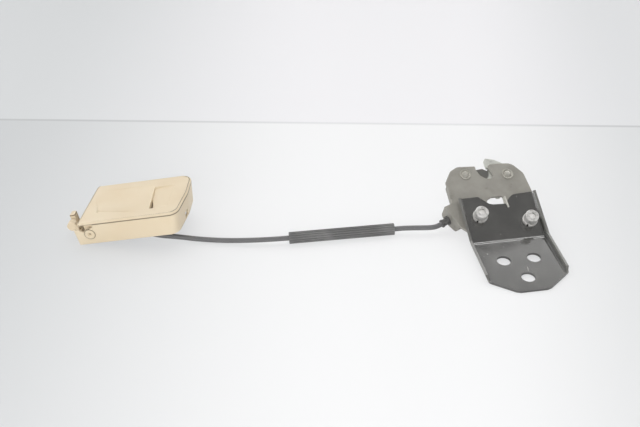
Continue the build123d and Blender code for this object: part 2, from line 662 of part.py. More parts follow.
def cable_route():
    """Route of the casing from the handle's ferrule to the latch's ferrule, and its corner radii."""
    start = handle * Pos(*on_pull(handle_ferrule_start + handle_ferrule_length))
    lead = handle * Pos(*on_pull(handle_ferrule_start + handle_ferrule_length + 27.0))
    last_lead = latch * Pos(*at_root(latch_ferrule_out + 4.5))
    end = latch * Pos(*at_root(latch_ferrule_out))
    points = [start.position, lead.position] + [Vector(*p) for p in cable_points] + [last_lead.position, end.position]
    radii = []
    for before, here, after in zip(points, points[1:], points[2:]):
        turn = (here - before).get_angle(after - here)
        radii.append(0.45 * min((here - before).length, (after - here).length) / tan(radians(turn / 2)))
    return points, radii


def cable_casing():
    """Black casing of the cable."""
    points, radii = cable_route()
    path = FilletPolyline(*points, radius=radii)
    start = Plane(path @ 0, z_dir=path % 0)
    body = sweep(start * Circle(casing_diameter / 2), path)
    print("casing length", round(path.length, 1), "radii", [round(r, 1) for r in radii])
    print("volume over section times length", round(body.volume / (pi * casing_diameter ** 2 / 4 * path.length), 4))
    return body


def ribbed_sleeve():
    """Sleeve with lengthwise ribs on the cable's straight stretch."""
    low = Vector(*cable_points[3])
    high = Vector(*cable_points[4])
    axis = (high - low).normalized()
    start = (low + high) * 0.5 - axis * (sleeve_length / 2)
    outer = sleeve_diameter / 2
    face = Circle(outer - rib_depth)
    width = pi * outer / sleeve_ribs
    for k in range(sleeve_ribs):
        face += Rot(0, 0, 360 / sleeve_ribs * k) * (Pos(outer - rib_depth - 0.2, 0) * RectangleRounded(
            2 * rib_depth + 0.4, width, 0.4))
    face -= Circle(casing_diameter / 2)
    return Plane(start, z_dir=axis).location * extrude(face, sleeve_length)


def write(name, body):
    """One STEP file for one node."""
    export_step(body, os.path.join("parts", name + ".step"))


os.makedirs("parts", exist_ok=True)
write("mounting_bracket", mounting_bracket())
write("lock_plate", lock_plate())
write("back_plate", back_plate())
write("claw", claw())
write("pawl", pawl())
write("claw_rivet", rivet(claw_pivot))
write("pawl_rivet", rivet(pawl_pivot))
write("cap_screws", cap_screws())
write("spring_washers", spring_washers())
write("weld_nuts", weld_nuts())
write("latch_ferrule", latch_ferrule())
write("latch_core_wire", latch_core_wire())
write("latch_nipple", latch_nipple())
write("latch_spring", latch_spring())
write("handle_housing", handle_housing())
write("release_lever", release_lever())
write("handle_ferrule", handle_ferrule())
write("handle_core_wire", handle_core_wire())
write("handle_nipple", handle_nipple())
write("hinge_pin", hinge_pin())
write("pin_clip", pin_clip())
write("lever_spring", lever_spring())
write("cable_casing", cable_casing())
write("ribbed_sleeve", ribbed_sleeve())
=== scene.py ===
from math import cos, exp, pi, radians, sin

import bmesh
import bpy
from mathutils import Matrix, Vector


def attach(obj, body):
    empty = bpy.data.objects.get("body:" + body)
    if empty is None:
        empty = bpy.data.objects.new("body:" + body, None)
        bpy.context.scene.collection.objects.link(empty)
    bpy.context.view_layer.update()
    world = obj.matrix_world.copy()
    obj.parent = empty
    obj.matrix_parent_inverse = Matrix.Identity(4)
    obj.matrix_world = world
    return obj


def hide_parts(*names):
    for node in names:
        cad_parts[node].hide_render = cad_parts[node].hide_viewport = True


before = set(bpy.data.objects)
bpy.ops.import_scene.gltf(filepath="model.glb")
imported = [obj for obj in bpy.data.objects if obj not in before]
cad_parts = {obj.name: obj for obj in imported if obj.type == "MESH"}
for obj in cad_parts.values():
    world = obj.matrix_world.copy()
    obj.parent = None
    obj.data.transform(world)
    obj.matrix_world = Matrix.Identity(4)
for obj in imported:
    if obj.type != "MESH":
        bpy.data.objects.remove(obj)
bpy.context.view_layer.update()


# The viewpoint: a 50 mm lens on a 36 mm wide sensor, 82 cm in front of the cable's middle and 34 degrees above
# the table, turned a little to the right and rolled by half a degree.
lens = 50.0
sensor_width = 36.0
eye = Vector((-0.286545, -0.616179, 0.505554))
across = Vector((0.986572, -0.163039, -0.009681))
upward = Vector((0.099427, 0.552505, 0.827558))
ahead = Vector((0.129575, 0.817408, -0.561297))

viewpoint = bpy.data.cameras.new("viewpoint")
viewpoint.lens = lens
viewpoint.sensor_width = sensor_width
viewpoint.clip_start = 0.01
viewpoint.clip_end = 20.0
camera = bpy.data.objects.new("viewpoint", viewpoint)
turn = Matrix((across, upward, -ahead)).transposed().to_4x4()
camera.matrix_world = Matrix.Translation(eye) @ turn
bpy.context.scene.collection.objects.link(camera)
bpy.context.scene.camera = camera


# The release cable's casing: a 5 mm black plastic tube over the core wire, held at one end in the handle's
# ferrule and at the other in the latch's. It lies on the table between them, pulled straight in the sleeve.
casing_diameter = 0.005
casing_black = (0.150, 0.150, 0.152, 1.0)
casing_worn = (0.240, 0.240, 0.242, 1.0)
casing_points = [
    (-0.36036, 0.11001, 0.01183),
    (-0.33489, 0.10366, 0.00552),
    (-0.3114, 0.1010, 0.0023),
    (-0.2934, 0.0956, 0.0010),
    (-0.2640, 0.0876, 0.0010),
    (-0.2260, 0.0788, 0.00377),
    (-0.1870, 0.07763, 0.00377),
    (-0.1064, 0.07521, 0.00377),
    (-0.0960, 0.0749, 0.00377),
    (-0.0860, 0.0721, 0.0049),
    (-0.0758, 0.0702, 0.0051),
    (-0.0668, 0.0691, 0.0050),
    (-0.06091, 0.06988, 0.00554),
    (-0.05681, 0.0715, 0.00642),
]


class Link:
    """One output of a material's nodes. Arithmetic on it adds Math nodes."""

    def __init__(self, tree, socket=None):
        self.tree = tree
        self.socket = socket

    def node(self, kind, settings=None, inputs=None, out=0):
        """Adds a node, sets it up, joins or fills its sockets and returns one of its outputs."""
        made = self.tree.nodes.new("ShaderNode" + kind)
        for name, value in (settings or {}).items():
            if name == "stops":
                while len(made.color_ramp.elements) < len(value):
                    made.color_ramp.elements.new(1.0)
                for element, (place, colour) in zip(made.color_ramp.elements, value):
                    element.position = place
                    element.color = colour
            else:
                setattr(made, name, value)
        for name, value in (inputs or {}).items():
            if isinstance(value, Link):
                self.tree.links.new(value.socket, made.inputs[name])
            else:
                made.inputs[name].default_value = value
        return Link(self.tree, made.outputs[out] if made.outputs else None)

    def sum_of(self, operation, first, second=0.0, third=None):
        inputs = {0: first, 1: second}
        if third is not None:
            inputs[2] = third
        return self.node("Math", {"operation": operation}, inputs)

    def __add__(self, other):
        return self.sum_of("ADD", self, other)

    __radd__ = __add__

    def __sub__(self, other):
        return self.sum_of("SUBTRACT", self, other)

    def __rsub__(self, other):
        return self.sum_of("SUBTRACT", other, self)

    def __mul__(self, other):
        return self.sum_of("MULTIPLY", self, other)

    __rmul__ = __mul__

    def between(self, low, high):
        """0 below low, 1 above high, and a smooth step in between."""
        return self.node("MapRange", {"interpolation_type": "SMOOTHSTEP"}, {0: self, 1: low, 2: high})

    def at_least(self, other):
        return self.sum_of("MAXIMUM", self, other)

    def size(self):
        return self.sum_of("ABSOLUTE", self)

    def root(self):
        return self.sum_of("SQRT", self)

    def blend(self, low, high):
        """Colour low where this is 0 and high where it is 1."""
        made = self.tree.nodes.new("ShaderNodeMix")
        made.data_type = "RGBA"
        self.tree.links.new(self.socket, made.inputs[0])
        for place, colour in ((6, low), (7, high)):
            if isinstance(colour, Link):
                self.tree.links.new(colour.socket, made.inputs[place])
            else:
                made.inputs[place].default_value = colour
        return Link(self.tree, made.outputs[2])


def new_finish(name):
    """An empty material: returns it with its first node's output, the place on the part in metres."""
    finish = bpy.data.materials.new(name)
    finish.use_nodes = True
    finish.node_tree.nodes.clear()
    place = Link(finish.node_tree).node("TexCoord", out=3)
    return finish, place


def close_finish(finish, place, colour, roughness, metallic=0.0, bumps=None, bump_depth=0.0002, **fixed):
    """Ends a material in one Principled shader; fixed names its sockets that are the same all over."""
    inputs = {"Base Color": colour, "Roughness": roughness, "Metallic": metallic}
    if bumps is not None:
        inputs["Normal"] = place.node("Bump", None, {"Height": bumps, "Distance": bump_depth})
    for name, value in fixed.items():
        inputs[name.replace("_", " ")] = value
    shader = place.node("BsdfPrincipled", None, inputs)
    place.node("OutputMaterial", None, {"Surface": shader})
    return finish


def grain(place, scale, detail=2.0, roughness=0.5, stretch=None):
    """Even noise from 0 to 1 over the part, stretched where three factors are given."""
    if stretch:
        place = place.node("Mapping", None, {"Vector": place, "Scale": stretch})
    return place.node("TexNoise", None, {"Vector": place, "Scale": scale, "Detail": detail, "Roughness": roughness})


def give(node, finish):
    """Gives a piece of the model its finish."""
    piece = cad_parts[node]
    piece.data.materials.clear()
    piece.data.materials.append(finish)
    return piece


casing_finish, place = new_finish("casing_plastic")
rubs = grain(place, 900.0, 3.0).between(0.55, 0.75) * grain(place, 60.0).between(0.4, 0.7)
close_finish(
    casing_finish, place, rubs.blend(casing_black, casing_worn), 0.3 + rubs * 0.2,
    bumps=grain(place, 1500.0), bump_depth=0.00002)

casing_line = bpy.data.curves.new("cable_line", "CURVE")
casing_line.dimensions = "3D"
casing_line.bevel_depth = casing_diameter / 2
casing_line.bevel_resolution = 6
casing_line.resolution_u = 24
casing_line.use_fill_caps = True
route = casing_line.splines.new("NURBS")
route.points.add(len(casing_points) - 1)
for knot, point in zip(route.points, casing_points):
    knot.co = (*point, 1.0)
route.order_u = 3
route.use_endpoint_u = True
casing = bpy.data.objects.new("cable_casing_smooth", casing_line)
casing.data.materials.append(casing_finish)
bpy.context.scene.collection.objects.link(casing)
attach(casing, "frame")
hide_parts("cable_casing")


# The sleeve on the cable: soft black foam rubber, extruded with sixteen lengthwise ribs and pushed over the
# casing to stop it from rattling in the seat back.
foam_black = (0.165, 0.165, 0.164, 1.0)
foam_grey = (0.240, 0.240, 0.237, 1.0)

foam, place = new_finish("foam_rubber")
cells = grain(place, 1800.0, 3.0)
bloom = grain(place, 45.0, 3.0).between(0.35, 0.7)
foam = close_finish(
    foam, place, bloom.blend(foam_black, foam_grey), 0.62 + bloom * 0.15, bumps=cells, bump_depth=0.00008)


def reshaped(node, body, own_frame, finish, move):
    """A new piece from a solid's surface, each of its points moved by a rule in the piece's own frame, in mm."""
    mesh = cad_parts[node].data.copy()
    to_own = own_frame.inverted()
    for corner in mesh.vertices:
        corner.co = own_frame @ (move(to_own @ corner.co * 1000.0) / 1000.0)
    if "custom_normal" in mesh.attributes:
        mesh.attributes.remove(mesh.attributes["custom_normal"])
    mesh.materials.clear()
    mesh.materials.append(finish)
    mesh.polygons.foreach_set("use_smooth", [True] * len(mesh.polygons))
    mesh.set_sharp_from_angle(angle=radians(28.0))
    piece = bpy.data.objects.new(node + "_formed", mesh)
    bpy.context.scene.collection.objects.link(piece)
    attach(piece, body)
    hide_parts(node)
    return piece


sleeve_push = Vector((5.6, -0.17, 0.0))
sleeve = reshaped(
    "ribbed_sleeve", "frame", Matrix.Identity(4), foam, lambda point: point + sleeve_push)


# The mounting bracket: 2.4 mm sheet steel, blanked, folded and flanged, then dipped in gloss black paint. It has
# come with dust on it and small scratches where it was handled.
enamel_black = (0.022, 0.0215, 0.019, 1.0)
enamel_dusty = (0.052, 0.051, 0.046, 1.0)
enamel_flange_sheen = (0.120, 0.118, 0.108, 1.0)
enamel_scratch = (0.34, 0.33, 0.30, 1.0)
enamel_gloss = 2.35
flange_sheen_span = (0.0362, 0.0372)

enamel, place = new_finish("black_enamel")
haze = grain(place, 38.0, 4.0, 0.6).between(0.35, 0.75)
specks = place.node("TexVoronoi", {"feature": "F1"}, {"Vector": place, "Scale": 260.0}, out=0)
specks = (1.0 - specks.between(0.05, 0.12)) * grain(place, 90.0).between(0.56, 0.66)
scores = grain(place, 420.0, 2.0, 0.5, (1.0, 0.12, 0.3)).between(0.72, 0.76) * grain(place, 70.0).between(0.5, 0.62)
marks = specks.at_least(scores * 0.6)
# Painted reflection: the side flanges, beyond about 36 mm either side of the middle, are painted lighter and a
# little rougher.
flange_sheen = place.node("SeparateXYZ", None, {0: place}, out=0).size().between(*flange_sheen_span)
colour = haze.blend(enamel_black, enamel_dusty)
colour = (flange_sheen * 0.8).blend(colour, enamel_flange_sheen)
black_enamel = close_finish(
    enamel, place, marks.blend(colour, enamel_scratch), 0.1 + haze * 0.06 + marks * 0.3 + flange_sheen * 0.2,
    bumps=grain(place, 500.0, 2.0), bump_depth=0.000012, IOR=enamel_gloss)

rest_tilt = 3.39818
fold_angle = 25.0
fold_start = 0.037
sheet = 0.0024
bracket_frame = Matrix.Rotation(radians(rest_tilt), 4, "X")
latch_frame = bracket_frame @ Matrix.Translation((0, fold_start, sheet)) @ Matrix.Rotation(
    radians(fold_angle), 4, "X")

flange_root = 34.4
flange_slope = 58.0
flange_height = 6.6
true_root = 36.6
true_slope = 76.0
top_height = 2.6
lower_share = 0.62
panel_flat = 31.0
bend_reach = 1.07
bend_rise = 1.3
fall_start = 1.0
fall_length = 42.0


def turned_flange(side, rise):
    """A flange point, turned about its root from the plain slope to the true one, steeper and further out."""
    half = radians(flange_slope / 2)
    reach = (side - flange_root) * cos(half) + rise * sin(half)
    share = min(max((reach + bend_reach) / (2 * bend_reach), 0.0), 1.0)
    turn = radians(true_slope - flange_slope) * share
    out, up = side - flange_root, rise
    length_share = sin(radians(flange_slope)) / sin(radians(true_slope))
    far = max(out * cos(radians(flange_slope)) + up * sin(radians(flange_slope)) - bend_rise, 0.0)
    out -= far * (1 - length_share) * cos(radians(flange_slope))
    up -= far * (1 - length_share) * sin(radians(flange_slope))
    return (true_root + out * cos(turn) - up * sin(turn), out * sin(turn) + up * cos(turn))


def true_bracket(point):
    """Steeper side flanges, which fall off along the upper panel from the fold to its end."""
    on_upper = to_latch @ (point / 1000.0) * 1000.0
    mitre = (point.y - fold_start * 1000.0) * cos(radians(fold_angle / 2)) + (
        point.z - sheet * 1000.0) * sin(radians(fold_angle / 2))
    own = on_upper if mitre > 0.0 else point
    level = -sheet * 500.0 if mitre > 0.0 else sheet * 500.0
    if abs(own.x) < panel_flat:
        return point
    side, rise = turned_flange(abs(own.x), own.z - level)
    if rise > bend_rise:
        rise = bend_rise + (rise - bend_rise) * lower_share
    if mitre > 0.0 and rise > bend_rise:
        fall = min(max((own.y - fall_start) / fall_length, 0.0), 1.0)
        rise = bend_rise + (rise - bend_rise) * (1.0 - fall * (1.0 - top_height / flange_height))
    moved = Vector((side if own.x > 0.0 else -side, own.y, level + rise))
    if mitre > 0.0:
        return from_latch @ (moved / 1000.0) * 1000.0
    return moved


to_latch = latch_frame.inverted() @ bracket_frame
from_latch = bracket_frame.inverted() @ latch_frame
reshaped("mounting_bracket", "frame", bracket_frame, black_enamel, true_bracket)

bend_radius = 15.0
bend_half = 35.6
bend_lift = 0.02
bend_steps = 24
half_turn = radians(fold_angle / 2)
bend_centre = Vector((0.0, fold_start * 1000.0, sheet * 1000.0)) + Vector(
    (0.0, -sin(half_turn), cos(half_turn))) * (bend_radius / cos(half_turn) + bend_lift)
bend_points = []
for k in range(bend_steps + 1):
    turn = radians(fold_angle) * k / bend_steps
    for side in (-bend_half, bend_half):
        bend_points.append(bracket_frame @ (Vector((
            side, bend_centre.y + bend_radius * sin(turn), bend_centre.z - bend_radius * cos(turn))) / 1000.0))
bend_mesh = bpy.data.meshes.new("bracket_bend")
bend_mesh.from_pydata(bend_points, [], [(2 * k, 2 * k + 1, 2 * k + 3, 2 * k + 2) for k in range(bend_steps)])
bend_mesh.polygons.foreach_set("use_smooth", [True] * bend_steps)
bend_mesh.materials.append(black_enamel)
bend = bpy.data.objects.new("bracket_bend", bend_mesh)
bpy.context.scene.collection.objects.link(bend)
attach(bend, "frame")


# The latch's two plates: 2.5 mm steel stampings, zinc plated and passivated to a dull olive grey. The front one
# carries the cable flange and the locating tab, the back one has side walls that keep the claw's room.
zinc_olive = (0.305, 0.294, 0.264, 1.0)
zinc_light = (0.370, 0.357, 0.324, 1.0)
zinc_stain = (0.205, 0.197, 0.172, 1.0)
tab_highlight = (0.620, 0.610, 0.560, 1.0)
tab_middle = 0.0079
tab_half = (0.0011, 0.0016)
tab_foot = (0.0330, 0.0335)
tab_tip = (0.0472, 0.0476)

zinc, place = new_finish("olive_zinc")
clouds = grain(place, 55.0, 4.0, 0.55).between(0.3, 0.7)
stains = grain(place, 120.0, 3.0, 0.6).between(0.62, 0.8)
rolled = grain(place, 900.0, 2.0, 0.5, (0.15, 1.0, 1.0))
rise_axis = latch_frame.to_3x3().col[1]
rise = place.node("VectorMath", {"operation": "DOT_PRODUCT"}, {0: place, 1: tuple(rise_axis)}, out=1)
rise = rise - rise_axis.dot(latch_frame.translation)
# Painted highlight: the locating tab's edge is painted much brighter than the rest of the plate.
tab = 1.0 - (place.node("SeparateXYZ", None, {0: place}, out=0) - tab_middle).size().between(*tab_half)
tab = tab * rise.between(*tab_foot) * (1.0 - rise.between(*tab_tip))
colour = tab.blend(stains.blend(clouds.blend(zinc_olive, zinc_light), zinc_stain), tab_highlight)
olive_zinc = close_finish(
    zinc, place, colour, 0.42 + clouds * 0.12, 0.35, bumps=rolled + grain(place, 1400.0), bump_depth=0.00003)
for node in ("lock_plate", "back_plate", "weld_nuts"):
    give(node, olive_zinc)


# Claw and pawl: 4.2 mm fine-blanked steel, hardened and zinc plated, lighter than the plates and rubbed bright
# where the striker and each other run on them.
claw_light = (0.66, 0.67, 0.625, 1.0)
claw_grease = (0.26, 0.26, 0.24, 1.0)
hook_shade = (0.150, 0.150, 0.138, 1.0)
hook_place = (-0.0095, 0.0785, -0.0053)
hook_reach = (0.0085, 0.0105)

worn_zinc, place = new_finish("claw_zinc")
smears = grain(place, 95.0, 4.0, 0.6).between(0.5, 0.75) * 0.5
# Painted shade: where the claw's arm shows in the latch's mouth it is painted dark, for the shade of the slot's
# walls.
hook_tip = latch_frame @ Vector(hook_place)
hook = 1.0 - place.node("VectorMath", {"operation": "DISTANCE"}, {0: place, 1: tuple(hook_tip)}, out=1).between(
    *hook_reach)
ground = grain(place, 1100.0, 2.0, 0.5, (1.0, 0.2, 0.2))
claw_zinc = close_finish(
    worn_zinc, place, hook.blend(smears.blend(claw_light, claw_grease), hook_shade), 0.34 + smears * 0.1, 0.4,
    bumps=ground, bump_depth=0.00003)
for node in ("claw", "pawl"):
    give(node, claw_zinc)

arm_top = -5.25
arm_back = -9.35
broken_edge = 0.00035
arm_corners = [(-1.0, 84.0), (-1.6, 92.6), (0.4, 95.0), (9.0, 92.6), (16.0, 88.0), (19.0, 83.0)]


def plate_piece(name, corners, low, high, body, finish):
    """A flat piece of plate in the latch's frame, with its edges broken."""
    mesh = bpy.data.meshes.new(name)
    count = len(corners)
    points = [latch_frame @ Vector((u / 1000.0, v / 1000.0, w / 1000.0)) for w in (low, high) for u, v in corners]
    faces = [tuple(range(count))[::-1], tuple(range(count, 2 * count))]
    faces += [(k, (k + 1) % count, count + (k + 1) % count, count + k) for k in range(count)]
    mesh.from_pydata(points, [], faces)
    form = bmesh.new()
    form.from_mesh(mesh)
    bmesh.ops.recalc_face_normals(form, faces=form.faces)
    bmesh.ops.bevel(form, geom=form.edges[:], offset=broken_edge, segments=2, affect="EDGES")
    form.to_mesh(mesh)
    form.free()
    mesh.materials.append(finish)
    piece = bpy.data.objects.new(name, mesh)
    bpy.context.scene.collection.objects.link(piece)
    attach(piece, body)
    return piece


plate_piece("claw_arm", arm_corners, arm_back, arm_top, "claw", claw_zinc)


# The rivets that the claw and the pawl turn on: turned steel, each with a collar and a low dome on the front
# plate. They are peened over behind the back plate.
rivet_grey = (0.43, 0.415, 0.37, 1.0)
rivet_rubbed = (0.56, 0.545, 0.50, 1.0)

rivet_steel, place = new_finish("rivet_steel")
rubbed = grain(place, 160.0, 3.0).between(0.4, 0.7)
rivet_steel = close_finish(
    rivet_steel, place, rubbed.blend(rivet_grey, rivet_rubbed), 0.36, 0.6,
    bumps=grain(place, 700.0), bump_depth=0.00003)
rivet_places = {"claw_rivet": (17.7, 73.0), "pawl_rivet": (-25.0, 77.1)}
rivet_line = [
    (0.0, -13.5), (4.25, -13.5), (4.25, -12.2), (4.0, -12.2), (4.0, -2.4), (5.7, -2.4), (5.7, -1.75), (5.4, -1.45),
    (4.7, -1.4), (4.2, -1.75), (3.9, -2.1), (3.6, -2.1), (3.3, -1.6), (2.6, -1.25), (1.5, -1.08), (0.0, -1.05)]


def turned_piece(name, centre, line, finish, rounds=48):
    """A lathe-turned piece from its half section, radius and height in mm, in the latch's frame."""
    form = bmesh.new()
    rings = []
    for radius, level in line:
        spots = rounds if radius > 0.0 else 1
        rings.append([form.verts.new(latch_frame @ (Vector((
            centre[0] + radius * cos(2 * pi * k / rounds), centre[1] + radius * sin(2 * pi * k / rounds),
            level)) / 1000.0)) for k in range(spots)])
    for low, high in zip(rings, rings[1:]):
        for k in range(rounds):
            corners = [low[k % len(low)], low[(k + 1) % len(low)], high[(k + 1) % len(high)], high[k % len(high)]]
            form.faces.new(list(dict.fromkeys(corners)))
    bmesh.ops.recalc_face_normals(form, faces=form.faces)
    mesh = bpy.data.meshes.new(name)
    form.to_mesh(mesh)
    form.free()
    mesh.materials.append(finish)
    mesh.polygons.foreach_set("use_smooth", [True] * len(mesh.polygons))
    mesh.set_sharp_from_angle(angle=radians(40.0))
    piece = bpy.data.objects.new(name, mesh)
    bpy.context.scene.collection.objects.link(piece)
    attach(piece, "frame")
    return piece


for node, centre in rivet_places.items():
    rivet = turned_piece(node + "_headed", centre, rivet_line, rivet_steel)
    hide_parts(node)


# Two M8 socket head cap screws on split spring washers, bright zinc plated steel. They hold the latch on the
# bracket's upper panel and go into the nuts behind it. The floors of their sockets are painted near white: a
# painted highlight.
screw_bright = (0.78, 0.77, 0.75, 1.0)
socket_highlight = (0.95, 0.94, 0.92, 1.0)
screw_dull = (0.44, 0.435, 0.42, 1.0)

bright_zinc, place = new_finish("bright_zinc")
tarnish = grain(place, 240.0, 4.0, 0.6).between(0.4, 0.72)
screw_zinc = close_finish(
    bright_zinc, place, tarnish.blend(screw_bright, screw_dull), 0.3 + tarnish * 0.14, 0.45,
    bumps=grain(place, 2200.0), bump_depth=0.00003)
for node in ("cap_screws", "spring_washers"):
    give(node, screw_zinc)

screw_places = {"left": (-22.2, 28.0), "right": (25.7, 18.5)}
socket_line = [(0.0, 8.0), (2.9, 8.0), (2.9, 8.5), (1.6, 8.7), (0.0, 8.8)]

socket_zinc, place = new_finish("socket_zinc")
socket_zinc = close_finish(
    socket_zinc, place, grain(place, 400.0).between(0.4, 0.7).blend(socket_highlight, screw_bright), 0.3, 0.2)
for side, centre in screw_places.items():
    turned_piece(side + "_socket_floor", centre, socket_line, socket_zinc)


# Cable ends: black moulded ferrules, pressed on the casing and clipped in the latch's flange and the handle. Out
# of them come the bare ends of the stranded core wire with their cast nipples.
ferrule_black = (0.085, 0.085, 0.083, 1.0)
ferrule_grey = (0.140, 0.140, 0.138, 1.0)
wire_grey = (0.42, 0.42, 0.41, 1.0)
wire_dark = (0.20, 0.20, 0.20, 1.0)

ferrule_plastic, place = new_finish("ferrule_plastic")
scuffs = grain(place, 300.0, 3.0).between(0.45, 0.7)
ferrule_plastic = close_finish(
    ferrule_plastic, place, scuffs.blend(ferrule_black, ferrule_grey), 0.38 + scuffs * 0.12,
    bumps=grain(place, 1600.0), bump_depth=0.00003)
for node in ("latch_ferrule", "handle_ferrule"):
    give(node, ferrule_plastic)

wire_steel, place = new_finish("wire_steel")
strands = grain(place, 2600.0, 1.0, 0.5, (0.6, 1.0, 1.0)).between(0.4, 0.6)
wire_steel = close_finish(
    wire_steel, place, strands.blend(wire_dark, wire_grey), 0.35, 0.9, bumps=strands, bump_depth=0.00008)
for node in ("latch_core_wire", "handle_core_wire", "latch_nipple", "handle_nipple"):
    give(node, wire_steel)


# Springs and the clip of the hinge pin: plain drawn spring steel with a film of oil. The latch's spring hangs
# between pawl and claw, the lever's is wound round the pin.
spring_grey = (0.46, 0.455, 0.44, 1.0)
spring_dark = (0.22, 0.215, 0.205, 1.0)

spring_steel, place = new_finish("spring_steel")
oil = grain(place, 350.0, 3.0).between(0.45, 0.7)
spring_steel = close_finish(
    spring_steel, place, oil.blend(spring_grey, spring_dark), 0.3, 0.9,
    bumps=grain(place, 1800.0), bump_depth=0.00002)
for node in ("latch_spring", "lever_spring", "pin_clip"):
    give(node, spring_steel)


# The handle: housing, lever and hinge pin, moulded in beige polypropylene with a fine spark-eroded grain.
beige = (0.745, 0.636, 0.468, 1.0)
beige_warm = (0.722, 0.600, 0.425, 1.0)
beige_soiled = (0.600, 0.490, 0.335, 1.0)
beige_shadow = (0.150, 0.115, 0.070, 1.0)

moulded, place = new_finish("beige_moulding")
shade = grain(place, 24.0, 3.0).between(0.3, 0.75)
soil = grain(place, 75.0, 4.0, 0.6).between(0.66, 0.84)
colour = (soil * 0.45).blend(shade.blend(beige, beige_warm), beige_soiled)
handle_corner = (-0.4082, 0.1106, -0.0020332)
handle_yaw = -14.0
handle_tilt = -10.5
pin_place = (0.0147, 0.0108)
seam_height = 0.02135
seam_half = (0.0004, 0.0008)
head_radius = 0.0053
head_line = (0.0002, 0.0006)
dimple = (0.0008, 0.0016)
front_wall = (0.003, 0.004)
lid_centre = (0.0408, 0.034)
lid_reach_x = (0.0410, 0.0412)
lid_reach_y = (0.0258, 0.0260)
slot_levels = (0.0190, 0.0206)
handle_frame = Matrix.Translation(handle_corner) @ Matrix.Rotation(radians(handle_yaw), 4, "Z") @ Matrix.Rotation(
    radians(handle_tilt), 4, "Y")
lid_axis = handle_frame.to_3x3().col[2]
height = place.node("VectorMath", {"operation": "DOT_PRODUCT"}, {0: place, 1: tuple(lid_axis)}, out=1)
height = height - lid_axis.dot(Vector(handle_corner))
seam = 1.0 - (height - seam_height).size().between(*seam_half)
run_axis, away_axis = handle_frame.to_3x3().col[0], handle_frame.to_3x3().col[1]
run = place.node("VectorMath", {"operation": "DOT_PRODUCT"}, {0: place, 1: tuple(run_axis)}, out=1)
run = run - run_axis.dot(Vector(handle_corner)) - pin_place[0]
level = height - pin_place[1]
away = place.node("VectorMath", {"operation": "DOT_PRODUCT"}, {0: place, 1: tuple(away_axis)}, out=1)
away = away - away_axis.dot(Vector(handle_corner))
round_pin = (run * run + level * level).root()
ring = (1.0 - (round_pin - head_radius).size().between(*head_line)).at_least(1.0 - round_pin.between(*dimple))
ring = ring * (1.0 - away.between(*front_wall))
inner_lid = 1.0 - (run - lid_centre[0]).size().between(*lid_reach_x)
inner_lid = inner_lid * (1.0 - (away - lid_centre[1]).size().between(*lid_reach_y))
seam = seam * (1.0 - inner_lid)
slot_shade = inner_lid * (1.0 - height.between(*slot_levels))
colour = (seam * 0.8).at_least(ring * 0.6).at_least(slot_shade * 0.85).blend(colour, beige_shadow)
beige_moulding = close_finish(
    moulded, place, colour, 0.44 + shade * 0.06, bumps=grain(place, 2600.0, 2.0), bump_depth=0.00004)
give("hinge_pin", beige_moulding)

ear_middle = Vector((0.0, 20.0, 14.0))
ear_scale = 0.8
ear_lift = 1.6


def true_ears(point):
    """The two ears a little smaller and higher than the plain ones."""
    share = min(max((0.5 - point.x) / 2.5, 0.0), 1.0) if point.z > 2.5 and 8.0 < point.y < 32.0 else 0.0
    wanted = ear_middle + (point - ear_middle) * ear_scale + Vector((0.0, 0.0, ear_lift))
    return point.lerp(wanted, share)


reshaped("handle_housing", "frame", handle_frame, beige_moulding, true_ears)

# The lid's top face is laid anew over the lever: a paddle dished like the bowl of a spoon, with a sharp front
# edge that ends in a small notch, and beside it a shallow finger scoop with a dark slot under the paddle's edge.
lid_top = 24.0
lid_roll = 1.7
paddle_front = [(-10.0, 113.0), (21.5, 18.5), (46.0, 13.5), (63.3, 10.3), (70.0, 10.6), (76.0, 13.6)]
paddle_middle = (46.0, 33.0)
paddle_reach = (34.0, 24.0)
paddle_sink = 1.9
scoop_end = 93.5
scoop_rows = (12.0, 16.5, 50.6, 51.6)
scoop_sink = (2.9, 1.9)
scoop_front = 14.0
scoop_width = 37.0
scoop_rim = 0.55
slot_rows = (13.2, 32.0)
slot_width = 3.4
slot_sink = 2.4
valley_depth = 1.6
notch_depth = 1.6
notch_place = (21.6, 18.3)
notch_spread = 1.1
lid_width = 68.0
left_foot = 5.3
left_lean = 1.5 / 68.0
left_rounds = (0.8, 2.3)
right_foot = 105.5
right_lean = 3.6 / 35.4
bulge_row = 35.4
far_foot = 110.66
far_lean = -1.5 / 34.0
right_rounds = (7.3, 10.3)
edge_start = 75.5
edge_lean = 0.09
edge_row = 13.0
lid_rows = 132


def ramp(value, low, high):
    """0 below low, 1 above high, smooth in between."""
    share = min(max((value - low) / (high - low), 0.0), 1.0)
    return share * share * (3.0 - 2.0 * share)


def lid_side(y, foot, lean, front_round, back_round):
    """How far out the top face reaches on one side at this depth, with rounded corners."""
    inset = 0.0
    for gap, round_off in ((y - lid_roll, front_round), (lid_width - lid_roll - y, back_round)):
        if gap < round_off:
            inset = round_off - (round_off ** 2 - (round_off - max(gap, 0.0)) ** 2) ** 0.5
    return foot + lean * y, inset


def front_line(x):
    """Where the paddle's front edge runs at this length."""
    for (x0, y0), (x1, y1) in zip(paddle_front, paddle_front[1:]):
        if x0 <= x <= x1:
            return y0 + (y1 - y0) * (x - x0) / (x1 - x0)
    return 200.0


def valley_sink(x):
    """How much lower the paddle starts at its front edge."""
    return valley_depth * ramp(x, 19.0, 24.0) * (1.0 - 0.7 * ramp(x, 40.0, 70.0))


